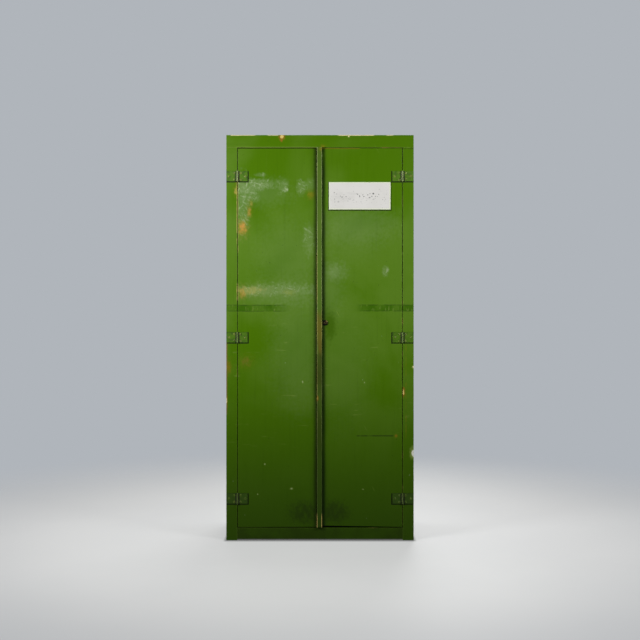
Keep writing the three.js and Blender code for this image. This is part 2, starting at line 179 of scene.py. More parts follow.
class Shader:
    """A procedural material made of layers. Its methods take and return node sockets or plain numbers."""

    def __init__(self, name, colour, roughness, specular=0.5):
        self.material = bpy.data.materials.new(name)
        self.material.use_nodes = True
        self.tree = self.material.node_tree
        self.surface = self.tree.nodes["Principled BSDF"]
        self.place = self.node("ShaderNodeTexCoord").outputs["Object"]
        self.x, self.y, self.z = self.node("ShaderNodeSeparateXYZ", {"Vector": self.place}).outputs
        self.colour = colour
        self.roughness = roughness
        self.specular = specular
        self.height = 0.0
        self.cover = None

    def feed(self, inputs, values):
        """Links sockets to a node's inputs, and sets the others to plain values."""
        for key, value in values.items():
            if isinstance(value, bpy.types.NodeSocket):
                self.tree.links.new(value, inputs[key])
            else:
                inputs[key].default_value = value

    def node(self, kind, values=None, **settings):
        node = self.tree.nodes.new(kind)
        for key, value in settings.items():
            setattr(node, key, value)
        self.feed(node.inputs, values or {})
        return node

    def math(self, operation, first, *others):
        """One operation, applied to all the values in turn."""
        for other in others or (0.0,):
            first = self.node("ShaderNodeMath", {0: first, 1: other}, operation=operation).outputs[0]
        return first

    def vector(self, operation, first, second=(0, 0, 0)):
        return self.node("ShaderNodeVectorMath", {0: first, 1: second}, operation=operation).outputs[0]

    def length(self, vector):
        return self.node("ShaderNodeVectorMath", {0: vector}, operation="LENGTH").outputs["Value"]

    def times(self, *factors):
        return self.math("MULTIPLY", *factors)

    def most(self, *values):
        return self.math("MAXIMUM", *values)

    def lift(self, value, gain, base):
        return self.math("ADD", self.times(value, gain), base)

    def smooth(self, value, start, end):
        """0 at start, 1 at end, and smooth between them."""
        settings = {"Value": value, "From Min": start, "From Max": end}
        return self.node("ShaderNodeMapRange", settings, interpolation_type="SMOOTHSTEP").outputs[0]

    def band(self, value, low, high, soft):
        """1 from low to high, falling to 0 within soft on both sides."""
        return self.times(self.smooth(value, low - soft, low), self.smooth(value, high + soft, high))

    def texture(self, place, scale, detail, twist):
        settings = {"Vector": place, "Scale": scale, "Detail": detail, "Distortion": twist}
        return self.node("ShaderNodeTexNoise", settings).outputs[0]

    def noise(self, scale, detail=3.0, stretch=(1, 1, 1), shift=0.0, twist=0.0):
        """Cloudy noise from 0 to 1, around 0.5. stretch below 1 on an axis draws it out along that axis."""
        place = self.vector("MULTIPLY", self.place, stretch)
        place = self.vector("ADD", place, (shift, shift * 1.7, shift * 2.3))
        return self.texture(place, scale, detail, twist)

    def clouds(self, start, end, *kind, **more):
        """Noise as a mask: 0 where the noise is at start, 1 where it is at end."""
        return self.smooth(self.noise(*kind, **more), start, end)

    def slanted(self, angle, stretch, scale, detail, twist=0.0):
        """Noise drawn out along a line that leans from upright by an angle in radians."""
        settings = {"Vector": self.place, "Angle": angle}
        lean = self.node("ShaderNodeVectorRotate", settings, rotation_type="Y_AXIS").outputs[0]
        return self.texture(self.vector("MULTIPLY", lean, (1, 1, stretch)), scale, detail, twist)

    def uneven(self, size, scale, detail):
        """Noise around 0, which makes the rims of marks ragged."""
        return self.times(self.math("SUBTRACT", self.noise(scale, detail), 0.5), size)

    def wavy(self, value, depth):
        """A length made uneven by the material's ragged noise, to a depth in millimetres."""
        return self.math("ADD", value, self.times(self.ragged, depth * MM))

    def mix(self, share, below, above):
        return self.node("ShaderNodeMix", {0: share, 6: below, 7: above}, data_type="RGBA").outputs[2]

    def blend(self, share, below, above):
        return self.node("ShaderNodeMix", {0: share, 2: below, 3: above}, data_type="FLOAT").outputs[0]

    def lay(self, mask, colour, roughness=None, height=None):
        """Lays a coat of colour where mask is 1; several masks are multiplied. height, in millimetres, lifts
        or cuts the surface there."""
        if isinstance(mask, tuple):
            mask = self.times(*mask)
        if self.cover is not None:
            mask = self.times(mask, self.cover)
        self.colour = self.mix(mask, self.colour, colour)
        if roughness is not None:
            self.roughness = self.blend(mask, self.roughness, roughness)
        if height is not None:
            self.height = self.math("ADD", self.height, self.times(mask, height * MM))

    def edge_distance(self):
        """Metres from the nearest arris of the board, whose box the object holds as low and high."""
        corner = [
            self.node("ShaderNodeAttribute", attribute_type="OBJECT", attribute_name=name).outputs["Vector"]
            for name in ("low", "high")
        ]
        inside = self.vector("MINIMUM", self.vector("SUBTRACT", self.place, corner[0]),
                             self.vector("SUBTRACT", corner[1], self.place))
        across, deep, up = self.node("ShaderNodeSeparateXYZ", {"Vector": inside}).outputs
        smaller = self.math("MINIMUM", across, deep)
        larger = self.math("MAXIMUM", across, deep)
        return self.most(smaller, self.math("MINIMUM", larger, up))

    def spot(self, x, z, wide, tall, ragged, soft):
        """1 within a ragged oval on the front, given by its middle and half sizes in metres."""
        offset = self.vector("SUBTRACT", self.place, (x, 0, z))
        reach = self.length(self.vector("MULTIPLY", offset, (1 / wide, 0, 1 / tall)))
        return self.smooth(self.math("ADD", reach, ragged), 1 + soft / 2, 1 - soft / 2)

    def finish(self, metallic=0.0):
        self.feed(self.surface.inputs, {"Base Color": self.colour, "Roughness": self.roughness,
                                        "Metallic": metallic, "Specular IOR Level": self.specular})
        if isinstance(self.height, bpy.types.NodeSocket):
            bump = self.node("ShaderNodeBump", {"Height": self.height, "Strength": 1.0, "Distance": 1.0})
            self.feed(self.surface.inputs, {"Normal": bump.outputs[0]})
        return self.material


class GreenPaint(Shader):
    """Old gloss green, brushed along the grain, hazed in clouds that are partly chalky paint and partly
    painted reflection, and darker towards the floor, partly grime and partly painted shade.
    Its marks are placed in millimetres across and up from the lower left corner of its board."""

    def __init__(self, name, grain, board=None):
        super().__init__(f"green_paint_{name}", GREEN_DEEP, 0.3, PAINT_SHEEN)
        if board:
            self.low, self.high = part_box(board)
        self.ragged = self.uneven(1.5, 70, 4)
        cloud = self.noise(3.1, 4, shift=4.0, twist=0.4)
        brush = self.noise(95, 3, ALONG[grain], 1.0)
        fibre = self.noise(330, 2, ALONG[grain], 2.0)
        handled = self.times(self.band(self.z, 0.8, 1.4, 0.3), 0.14)
        haze_and_sheen = self.smooth(self.math("ADD", cloud, handled), 0.4, 0.74)
        # Paler hazy green in clouds, more of it higher up: partly chalky paint, partly painted reflection of
        # the room on the gloss.
        self.lay((haze_and_sheen, self.smooth(self.z, -0.2, 1.1), 0.7), GREEN_HAZY, 0.42)
        self.lay((self.smooth(brush, 0.5, 0.85), 0.14), GREEN_HAZY)
        self.lay((self.smooth(brush, 0.5, 0.15), 0.14), GREEN_DARK)
        # Darker towards the floor: partly grime, partly painted shade where the light falls off downwards.
        self.lay((self.smooth(self.wavy(self.z, 50), 1.0, -0.15), 0.8), GREEN_DARK, 0.42)
        self.height = self.math("ADD", self.times(brush, 0.10 * MM), self.times(fibre, 0.035 * MM))
        self.scratch(grain)

    def scratch(self, grain):
        """Thin pale scratches at a slant and level, and small dark and pale specks, scattered thinly."""
        line = self.slanted(0.5, 0.05, 120, 1.0)
        patch = self.clouds(0.55, 0.7, 6, 2, shift=8.0)
        self.lay((self.smooth(line, 0.76, 0.8), patch, 0.6), GREEN_WORN, 0.6)
        level = self.clouds(0.66, 0.74, 85, 2, (0.12, 1, 1), 10.0)
        handled = self.times(self.band(self.z, 0.6, 0.95, 0.2), self.clouds(0.45, 0.6, 7, 2, shift=11.0))
        self.lay((level, handled, 0.3), GREEN_WORN, 0.6)
        self.lay((self.clouds(0.77, 0.8, 150, 1, shift=12.0 if grain == "z" else 15.0), 0.6), GRIME, 0.6)
        self.lay((self.clouds(0.795, 0.81, 60, 1, shift=17.0), 0.7), CHALK, 0.6)

    def across(self, place):
        return self.low.x + place * MM

    def up(self, place):
        return self.low.z + place * MM

    def columns(self, start, end, soft):
        """1 between two places across the board."""
        return self.band(self.x, self.across(start), self.across(end), soft * MM)

    def rows(self, start, end, soft):
        """1 between two places up the board."""
        return self.band(self.z, self.up(start), self.up(end), soft * MM)

    def oval(self, across, up, wide, tall, soft, ragged=None):
        """1 within a ragged oval, given by its middle, half width and half height."""
        return self.spot(self.across(across), self.up(up), wide * MM, tall * MM, ragged or self.ragged, soft)

    def keep_to_front(self, depth=2.5):
        """Keeps the coats that follow on the board's front, down to a depth round its arrises."""
        face = self.low.y
        self.cover = self.smooth(self.wavy(self.y, depth), face + depth * MM, face + depth / 2 * MM)

    def wear_arrises(self, width=3.0, strength=0.8):
        """Thin pale paint along the arrises, rubbed to bare wood in stretches, on every side of the board."""
        self.cover = None
        reach = self.edge_distance()
        rub = self.noise(9, 5, shift=20.0)
        ragged = self.wavy(reach, 2.2)
        self.lay((self.smooth(ragged, width * MM, 0.4 * MM), 0.45 * strength), GREEN_WORN, 0.5)
        bare = self.times(self.smooth(ragged, 1.9 * MM, 0.6 * MM), self.smooth(rub, 0.56, 0.68))
        self.lay((bare, strength), PALE_WOOD, 0.7, -0.1)
        rim = self.times(self.smooth(ragged, 3.4 * MM, 1.8 * MM), self.smooth(rub, 0.6, 0.72))
        self.lay((rim, 0.35 * strength), RUST_BROWN, 0.6)

    def chip(self, across, up, wide, tall, core=PALE_WOOD, rim=RUST_BROWN, strength=1.0):
        """Paint knocked off to the pale undercoat, with a brown rim."""
        self.lay((self.oval(across, up, 1.9 * wide, 1.9 * tall, 1.0), 0.8 * strength), rim, 0.6)
        self.lay((self.oval(across, up, wide, tall, 0.25), strength), core, 0.75, -0.15)

    def bruise(self, across, up, wide, tall, strength, colour=BRUISE):
        """Paint rubbed through in a soft patch, deepest at its middle."""
        coarse = self.clouds(0.2, 0.62, 75, 3, shift=30.0)
        scratched = self.clouds(0.3, 0.6, 150, 3, (1, 1, 0.3), 31.0)
        mottle = self.times(coarse, self.lift(scratched, 0.65, 0.35))
        edge = self.times(self.ragged, 1.1)
        halo = self.oval(across, up, 1.25 * wide, 1.25 * tall, 1.5, edge)
        core = self.oval(across, up, 0.7 * wide, 0.7 * tall, 1.3, edge)
        self.lay((halo, mottle, 0.45 * strength), OLIVE, 0.45)
        self.lay((core, self.lift(mottle, 0.65, 0.3), strength), colour, 0.5)

    def scuffs(self, patches):
        """Whitish curved rub marks within ovals, each (across, up, half width, half height, strength)."""
        swirl = self.noise(19, 2, shift=40.0, twist=3.2)
        ridge = self.math("ABSOLUTE", self.math("SUBTRACT", swirl, 0.5))
        lines = self.smooth(ridge, 0.03, 0.004)
        broken = self.clouds(0.42, 0.56, 42, 2, shift=44.0)
        flecks = 0.0
        for angle, scale in ((0.7, 62), (-0.5, 84), (1.2, 74)):
            flecks = self.most(flecks, self.smooth(self.slanted(angle, 0.24, scale, 2.0, 0.8), 0.6, 0.69))
        thinned = self.clouds(0.4, 0.58, 26, 2, shift=46.0)
        marks = self.most(self.times(lines, broken, 0.7), self.times(flecks, thinned, 0.75))
        for *place, strength in patches:
            region = self.oval(*place, 1.2)
            self.lay((region, 0.19 * strength), CHALK, 0.45)
            self.lay((region, marks, strength), CHALK, 0.55)

    def veils(self, patches):
        """Soft greyish hazes in ovals: partly chalky paint, partly painted reflection of the room on the
        gloss.
        """
        for *place, strength in patches:
            self.lay((self.oval(*place, 1.4), strength), CHALK, 0.6)

    def smudge(self, *place, strength):
        """Dark grime in a soft oval."""
        streak = self.clouds(0.15, 0.6, 60, 3, (1, 1, 0.5), 50.0)
        self.lay((self.oval(*place, 1.2), streak, strength), GRIME, 0.65)

    def painted_strip_shade(self, outward, colour, strength=0.8):
        """Painted shade, with some patchy grime, in the corner beside the meeting strip, to its left or right,
        where the strip shades the door.
        """
        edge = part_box("meeting_strip")[outward > 0].x
        across = self.wavy(self.x, 2)
        near = self.smooth(across, edge + outward * 22 * MM, edge + outward * 2 * MM)
        patchy = self.clouds(0.25, 0.6, 9, 3, (1, 1, 0.6), 55.0)
        far = self.smooth(across, edge + outward * 50 * MM, edge)
        self.lay((far, patchy, 0.4 * strength), GREEN_DARK)
        self.lay((near, self.lift(patchy, 0.35, 0.6), strength), colour, 0.5)

    def outline(self, node, left, right, below, strength=0.95):
        """Painted shadow along the sides and the lower edge of a fitting that lies on the board."""
        low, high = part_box(node)
        wide = self.band(self.x, low.x - left * MM, high.x + right * MM, 0.8 * MM)
        tall = self.band(self.z, low.z - below * MM, high.z + 0.6 * MM, 0.8 * MM)
        self.lay((wide, tall, strength), SOOT_AND_SHADE, 0.6)

    def shadow_outline_hinges(self, leaf, side):
        """Painted shadow round a side's three leaves on a door or a frame stile, most at a door leaf's inner
        edge.
        """
        inner, outer = (5.0, 0.5) if leaf == "door" else (0.5, 0.5)
        left, right = (outer, inner) if side == "left" else (inner, outer)
        for level in LEVELS:
            self.outline(f"hinge_{leaf}_leaf_{side}_{level}", left, right, 5.0)

    def tape_band(self, up, end, fade):
        """Where a tape kept the paint fresh: a deeper band with dirty borders, which fades out at end."""
        height, wavy = self.up(up), self.wavy(self.z, 1.5)
        along = self.smooth(self.x, self.across(end), self.across(end + fade))
        inside = self.times(self.band(wavy, height, height + TAPE_WIDTH * MM, 2 * MM), along)
        patchy = self.clouds(0.35, 0.6, 17, 3, (1, 1, 0.5), 62.0)
        self.lay((inside, self.lift(patchy, 0.5, 0.35)), TAPE_GREEN, 0.3)
        torn = self.clouds(0.56, 0.68, 110, 2, (1, 1, 0.3), 64.0)
        self.lay((inside, torn, 0.3), GREEN_WORN, 0.5)
        for border in (height, height + TAPE_WIDTH * MM):
            line = self.band(wavy, border - 0.8 * MM, border + 0.8 * MM, 1.5 * MM)
            self.lay((line, along, self.clouds(0.3, 0.55, 40, 2, shift=60.0), 0.8), GREEN_DARK, 0.6)

    def scored_line(self, up, start, end, thickness, strength):
        """A dark broken line scored level across the board."""
        wavy, half = self.wavy(self.z, 1.6), thickness / 2 * MM
        broken = self.clouds(0.28, 0.55, 32, 2, (1, 1, 0.2), 66.0)
        line = self.band(wavy, self.up(up) - half, self.up(up) + half, 1.6 * MM)
        self.lay((line, self.columns(start, end, 12), self.lift(broken, 0.65, 0.35), strength), GRIME, 0.6)


def plain_paint():
    """Paint without marks of its own, for the screws in the sides."""
    paint = GreenPaint("z", "z")
    paint.wear_arrises()
    return paint.finish()


def left_door_paint():
    """The left door: arcs of scuffs in its upper part, a rubbed hinge edge and a grimy foot."""
    paint = GreenPaint("left_door", "z", "left_door_skin")
    paint.keep_to_front()
    paint.veils([
        (200, 1150, 190, 50, 0.08),
        (120, 1650, 120, 60, 0.08),
        (250, 1330, 140, 160, 0.06),
        (300, 900, 120, 260, 0.06),
    ])
    paint.scuffs([
        (50, 1680, 60, 34, 0.8),
        (125, 1694, 70, 22, 0.7),
        (24, 1590, 30, 120, 0.75),
        (70, 1635, 30, 26, 0.5),
        (112, 1738, 26, 9, 0.6),
        (222, 1688, 26, 34, 0.6),
        (236, 1664, 12, 8, 0.9),
        (312, 1676, 20, 32, 0.8),
        (356, 1690, 26, 26, 0.5),
        (205, 1172, 180, 26, 0.5),
        (90, 1165, 80, 24, 0.5),
        (350, 1420, 24, 66, 0.55),
    ])
    for mark in (
        (23, 1476, 24, 36, 1.0, BRUISE),
        (55, 1560, 14, 34, 0.5, BRUISE),
        (66, 1600, 8, 16, 0.4, YELLOWED),
        (360, 1641, 20, 18, 0.6, OLIVE),
        (22, 1155, 16, 30, 0.6, BRUISE),
        (60, 1168, 80, 24, 0.32, RUB_YELLOW),
        (255, 1158, 30, 12, 0.5, GREEN_WORN),
        (40, 818, 32, 28, 0.36, WOOD_BROWN),
    ):
        paint.bruise(*mark)
    paint.tape_band(1066, 262, -90)
    paint.smudge(325, 75, 65, 48, strength=0.5)
    # Painted shade beside the meeting strip.
    paint.painted_strip_shade(-1, STRIP_SHADE_OLIVE)
    # Painted shadows round the hinge leaves.
    paint.shadow_outline_hinges("door", "left")
    for mark in ((320, 717, 1.8, 4), (264, 190, 4, 3), (133, 311, 2, 2.5), (98, 163, 1.8, 2)):
        paint.chip(*mark, CHALK, GREEN_WORN, 0.6)
    hinge_edge = paint.times(
        paint.smooth(paint.x, paint.across(4), paint.across(1)),
        paint.most(paint.rows(1366, 1700, 20), paint.rows(1126, 1196, 10)),
        paint.clouds(0.35, 0.5, 30, 3, shift=70.0),
    )
    paint.wear_arrises(strength=0.25)
    paint.keep_to_front()
    paint.lay((hinge_edge, 0.4), RUB_YELLOW, 0.7)
    return paint.finish()


def right_door_paint():
    """The right door: greyish hazes, a rubbed patch by the lock, a scored line and a grimy foot."""
    paint = GreenPaint("right_door", "z", "right_door_skin")
    paint.keep_to_front()
    paint.veils([
        (90, 1260, 50, 40, 0.12),
        (200, 1490, 170, 80, 0.09),
        (150, 1400, 140, 90, 0.03),
        (60, 1170, 60, 130, 0.05),
        (110, 850, 130, 300, 0.03),
    ])
    paint.scuffs([(90, 1262, 26, 22, 0.2), (338, 1262, 14, 22, 0.7)])
    paint.tape_band(1066, 184, 60)
    paint.scored_line(450, 203, 371, 4.0, 0.6)
    paint.bruise(391, 450, 8, 9, 0.6, RUST_BROWN)
    paint.smudge(86, 75, 65, 48, strength=0.5)
    paint.lay((paint.oval(64, 996, 30, 66, 1.2), 0.8), LOCK_GREEN, 0.3)
    # Painted shade beside the meeting strip.
    paint.painted_strip_shade(1, STRIP_SHADE_GREEN, 0.9)
    # Painted shadows round the hinge leaves and below the label plate.
    paint.shadow_outline_hinges("door", "right")
    paint.outline("label_plate", 3.0, 4.0, 5.5, 0.8)
    for mark in ((235, 713, 2, 2), (228, 186, 3, 1.8)):
        paint.chip(*mark, CHALK, GREEN_WORN, 0.5)
    top_rub = paint.times(paint.smooth(paint.z, paint.up(1864), paint.up(1869)), paint.columns(20, 205, 14))
    paint.wear_arrises(strength=0.2)
    paint.keep_to_front()
    paint.lay((top_rub, 0.8), OLIVE, 0.6)
    return paint.finish()


def top_rail_paint():
    """The top rail: one deep chip on its upper arris and long cream rubs beside it."""
    paint = GreenPaint("top_rail", "x", "frame_rail_top")
    paint.wear_arrises()
    paint.keep_to_front(RUB_DEPTH)
    top = paint.smooth(paint.wavy(paint.z, 2), paint.up(57.5), paint.up(60))
    wander = paint.wavy(paint.x, 25)
    for start, end, strength in ((562, 720, 1.0), (32, 132, 0.75), (210, 250, 0.6), (800, 815, 0.7)):
        along = paint.band(wander, paint.across(start), paint.across(end), 14 * MM)
        paint.lay((top, along, strength), CREAM, 0.7, -0.1)
    paint.chip(274, 52, 8, 9)
    paint.chip(274, 38, 3, 5, RUST_BROWN)
    paint.chip(604, 56, 3, 4, CREAM, GREEN_WORN)
    lower = paint.smooth(paint.z, paint.up(5), paint.up(1))
    paint.lay((lower, paint.columns(60, 440, 20), 0.55), GREEN_WORN, 0.6)
    paint.bruise(478, 4, 12, 8, 0.7, OLIVE)
    return paint.finish()


def bottom_rail_paint():
    """The bottom rail: kicked and mopped, so darker and browner than the rest, with little bare wood."""
    paint = GreenPaint("bottom_rail", "x")
    paint.lay(paint.lift(paint.clouds(0.35, 0.65, 11, 4, shift=25.0), 0.3, 0.15), FOOT_BROWN, 0.6)
    paint.wear_arrises(strength=0.2)
    return paint.finish()


def stile_paint(side):
    """A frame stile. The left one is rubbed to brown wood at hip height, the right one is chipped."""
    paint = GreenPaint(f"stile_{side}", "z", f"frame_stile_{side}")
    paint.keep_to_front()
    # Painted shadows round the hinge leaves.
    paint.shadow_outline_hinges("frame", side)
    paint.wear_arrises(strength=0.4)
    paint.keep_to_front(RUB_DEPTH)
    if side == "left":
        outer = paint.smooth(paint.wavy(paint.x, 4), paint.across(8), paint.across(2))
        paint.lay((outer, paint.rows(640, 960, 30), 0.8), WOOD_BROWN, 0.65)
        paint.bruise(12, 855, 16, 34, 0.4, RUST_BROWN)
        paint.bruise(47, 1726, 10, 24, 0.8, YELLOWED)
        inner = paint.smooth(paint.x, paint.across(50), paint.across(53))
        rubbed = paint.most(paint.rows(1460, 1765, 20), paint.rows(1190, 1260, 15))
        paint.lay((inner, rubbed, paint.clouds(0.38, 0.56, 34, 3, shift=132.0), 0.8), RUB_YELLOW, 0.7)
        paint.tape_band(1131, 100, -10)
        paint.chip(1, 690, 3, 13, CREAM, OLIVE)
    else:
        paint.chip(3, 730, 4, 13)
        rubbed_line = paint.times(paint.columns(15, 16.5, 1.5), paint.rows(520, 970, 60))
        paint.lay((rubbed_line, paint.clouds(0.4, 0.6, 24, 3, shift=130.0), 0.45), OLIVE, 0.5)
        paint.chip(51, 430, 8, 15, BARE_WHITE, GREEN_WORN)
        paint.chip(52, 855, 3, 5, CREAM, GREEN_WORN)
        paint.scored_line(1932, 10, 54, 1.2, 0.8)
        paint.tape_band(1131, -50, 10)
    return paint.finish()


def strip_paint():
    """The meeting strip: pale arrises that are partly worn paint and partly painted highlight, rubbed to brown
    wood where hands close the doors, bare at its foot.
    """
    paint = GreenPaint("strip", "z", "meeting_strip")
    patchy = paint.noise(26, 4, (1, 1, 0.25), 80.0)
    paint.lay(paint.lift(patchy, 0.4, 0.45), STRIP_GREEN, 0.4)
    hand_height = paint.band(paint.z, 0.95, 1.09, 60 * MM)
    below_hand = paint.band(paint.z, 0.45, 0.95, 60 * MM)
    paint.lay((below_hand, paint.smooth(patchy, 0.3, 0.6), 0.75), STRIP_OLIVE, 0.5)
    paint.lay((hand_height, paint.smooth(patchy, 0.25, 0.55), 0.8), STRIP_BROWN, 0.5)
    paint.wear_arrises(2.5, 0.5)
    left = paint.smooth(paint.x, paint.across(3.4), paint.across(2))
    right = paint.smooth(paint.x, paint.across(21.7), paint.across(23.3))
    front = paint.smooth(paint.y, paint.low.y + 4 * MM, paint.low.y + 1 * MM)
    rubbed = paint.clouds(0.34, 0.6, 14, 4, (1, 1, 0.5), 84.0)
    high_up = paint.smooth(paint.z, 0.5, 0.75)
    # Pale lines down both arrises: partly worn paint, partly painted highlight.
    paint.lay((left, front, paint.lift(rubbed, 0.4, 0.4)), STRIP_ARRIS_WEAR_AND_HIGHLIGHT, 0.4)
    paint.lay((left, front, rubbed, paint.smooth(paint.z, 1.45, 1.36), high_up, 0.6), STRIP_WOOD, 0.6)
    paint.lay((right, front, paint.lift(rubbed, 0.4, 0.15)), STRIP_ARRIS_WEAR_AND_HIGHLIGHT, 0.4)
    paint.lay((right, front, rubbed, paint.band(paint.z, 0.98, 1.12, 40 * MM), 0.7), STRIP_WOOD, 0.6)
    # Darker towards the floor, partly as painted shade.
    paint.lay((paint.smooth(paint.z, 1.0, 0.3), 0.7), GREEN_DARK)
    foot = paint.smooth(paint.wavy(paint.z, 12), paint.up(75), paint.up(45))
    paint.lay((foot, paint.most(left, right), 0.9), PALE_WOOD, 0.7)
    paint.lay((paint.band(paint.z, 0.79, 0.9, 40 * MM), 0.5), STRIP_OLIVE, 0.5)
    paint.chip(2, 634, 3, 6, STRIP_WOOD)
    paint.bruise(20.5, 1863, 9, 12, 0.7, OLIVE)
    return paint.finish()


def side_paint():
    """The side panels: brushed green with transport rubs at mid height and a grimy foot."""
    paint = GreenPaint("side", "z")
    rub = paint.clouds(0.55, 0.7, 5, 3, (1, 1, 0.35), 90.0)
    streak = paint.clouds(0.55, 0.7, 130, 3, (1, 0.12, 1), 92.0)
    paint.lay((rub, streak, 0.28), CHALK, 0.6)
    paint.lay((rub, 0.1), CHALK, 0.5)
    bare = paint.clouds(0.69, 0.72, 7, 5, shift=95.0)
    paint.lay((bare, paint.clouds(0.35, 0.6, 50, 3, (1, 1, 0.2), 97.0)), WOOD_BROWN, 0.65)
    paint.wear_arrises()
    return paint.finish()


def back_paint():
    """The back boards: thinner paint with the grain showing through, run marks and rust round the nails."""
    paint = GreenPaint("back", "z")
    thin = paint.clouds(0.48, 0.7, 55, 4, ALONG["z"], 110.0)
    paint.lay((thin, paint.clouds(0.4, 0.65, 4, 3, shift=112.0), 0.22), WOOD_BROWN, 0.55)
    runs = paint.clouds(0.6, 0.72, 38, 2, (1, 1, 0.06), 115.0)
    paint.lay((runs, 0.3), GREEN_DARK, 0.4)
    rub = paint.clouds(0.6, 0.75, 3, 2, shift=118.0)
    streak = paint.clouds(0.56, 0.72, 90, 4, (0.3, 1, 1), 120.0, 0.6)
    paint.lay((rub, streak, 0.35), CHALK, 0.6)
    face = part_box(BACK_BOARDS[0])[1].y
    behind = paint.smooth(paint.y, face - 2 * MM, face - 1 * MM)
    columns = paint.most(*(paint.band(paint.x, x - 2 * MM, x + 2 * MM, 3 * MM) for x in nail_columns()))
    rows = paint.most(*(paint.band(paint.z, z - 16 * MM, z + 2 * MM, 12 * MM) for z in nail_levels()))
    paint.lay((columns, rows, behind, paint.clouds(0.3, 0.5, 60, 3), 0.75), RUST, 0.7)
    paint.wear_arrises()
    return paint.finish()


def top_paint():
    """The top: green under years of dust, with wipe marks."""
    paint = GreenPaint("top", "x")
    dust = paint.clouds(0.3, 0.7, 6, 5, shift=100.0, twist=0.8)
    wiped = paint.clouds(0.45, 0.62, 18, 3, (0.2, 1, 1), 103.0)
    paint.lay((dust, paint.lift(wiped, 0.4, 0.25)), DUST, 0.75)
    paint.wear_arrises()
    return paint.finish()


def bare_wood(name, grain, painted_front=None):
    """Aged softwood: long grain lines, a few knots and handling marks. The front of the board named as
    painted_front, which shows in the gaps round the doors, is laid dark green: partly its share of the paint,
    partly painted shade in those gaps."""
    wood = Shader(name, PINE_LIGHT, 0.68, 0.3)
    wander = wood.noise(4, 3, ALONG[grain], 5.0)
    figure = wood.noise(26, 4, ALONG[grain], 6.0, 0.6)
    fine = wood.noise(420, 4, ALONG[grain], 7.0)
    wood.lay(wood.smooth(figure, 0.4, 0.66), PINE_DARK)
    wood.lay((wood.smooth(fine, 0.48, 0.68), 0.6), PINE_DARK, 0.75)
    wood.lay((wood.smooth(wander, 0.4, 0.7), 0.35), WOOD_BROWN)
    scattered = wood.vector("MULTIPLY", wood.place, (0.3, 1, 1) if grain == "x" else (1, 1, 0.3))
    knots = wood.node("ShaderNodeTexVoronoi", {"Vector": scattered, "Scale": 5.0, "Randomness": 1.0})
    bent = wood.times(wood.math("SUBTRACT", figure, 0.5), 0.05)
    distance = wood.math("ADD", knots.outputs["Distance"], bent)
    wood.lay((wood.smooth(distance, 0.1, 0.04), 0.55), PINE_DARK)
    wood.lay(wood.smooth(distance, 0.05, 0.03), KNOT, 0.5)
    wood.lay((wood.clouds(0.52, 0.75, 5, 4, shift=9.0), 0.4), DUST, 0.75)
    if painted_front:
        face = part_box(painted_front)[0].y
        # Dark green on the front: partly paint, partly painted shade in the gaps round the doors.
        wood.lay(wood.smooth(wood.y, face + 4 * MM, face + 2 * MM), GREEN_DARK, 0.45)
    wood.height = wood.math("ADD", wood.times(figure, 0.12 * MM), wood.times(fine, 0.08 * MM))
    return wood.finish()


def painted_steel():
    """Steel hinges under the same green, darker towards the floor as painted shade, with painted shade in the
    creases beside the knuckles and pale knuckles that are partly metal showing and partly painted highlight.
    """
    steel = Shader("painted_steel", GREEN_DEEP, 0.38)
    patch = steel.noise(60, 4, shift=3.0)
    steel.ragged = steel.uneven(1.0, 300, 3)
    steel.lay((steel.smooth(patch, 0.45, 0.7), 0.25), GREEN_HAZY, 0.45)
    steel.lay((steel.smooth(patch, 0.55, 0.3), 0.6), GREEN_DARK, 0.5)
    # Darker towards the floor, as painted shade.
    steel.lay((steel.smooth(steel.z, 1.1, 0.0), 0.85), GREEN_DARK)
    pin_low, pin_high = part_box("hinge_pin_right_top")
    beside = steel.math("SUBTRACT", steel.math("ABSOLUTE", steel.x), (pin_low.x + pin_high.x) / 2)
    from_pin = steel.math("ABSOLUTE", beside)
    # Painted shade in the creases beside the knuckles.
    steel.lay((steel.band(from_pin, 4.6 * MM, 9 * MM, 1.5 * MM), 0.9), SOOT_AND_SHADE, 0.6)
    leaf_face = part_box("hinge_frame_leaf_left_top")[1].y - LEAF * MM
    proud = steel.smooth(steel.wavy(steel.y, 1.5), leaf_face - 1.5 * MM, leaf_face - 4.5 * MM)
    worn = steel.clouds(0.34, 0.56, 220, 3, shift=33.0)
    # Pale on the proud knuckles: partly worn metal, partly a painted highlight, stronger higher up.
    handled = steel.lift(steel.smooth(steel.z, 1.3, 1.7), 0.35, 0.35)
    steel.lay((proud, worn, handled), KNUCKLE_WEAR_AND_HIGHLIGHT, 0.42)
    steel.lay((proud, steel.clouds(0.6, 0.68, 260, 3, shift=36.0)), RUST, 0.6)
    steel.height = steel.times(patch, 0.12 * MM)
    return steel.finish()


def screw_paint():
    """Screw heads under the green, with pale flecks that are partly metal showing where a driver has slipped
    and partly painted highlight, and darker towards the floor as painted shade.
    """
    screw = Shader("screw_paint", GREEN_DEEP, 0.3)
    screw.lay((screw.clouds(0.4, 0.6, 120, 3), 0.6), GREEN_DARK, 0.4)
    # Pale flecks: partly worn metal, partly painted highlight.
    screw.lay((screw.clouds(0.42, 0.56, 170, 3, shift=9.0), 0.8), SCREW_WEAR_AND_GLINT, 0.35)
    # Darker towards the floor, as painted shade.
    screw.lay((screw.smooth(screw.z, 1.1, 0.0), 0.4), GREEN_DARK)
    return screw.finish()


def seat_shade_and_grime():
    """Dark rings round the screw heads: painted shade, with some dirt in it. The tongues between the back
    boards take it too.
    """
    dirt = Shader("screw_seat_grime", SOOT_AND_SHADE, 0.7, 0.2)
    dirt.lay((dirt.clouds(0.4, 0.7, 420, 3), 0.4), GREEN_DARK, 0.6)
    return dirt.finish()


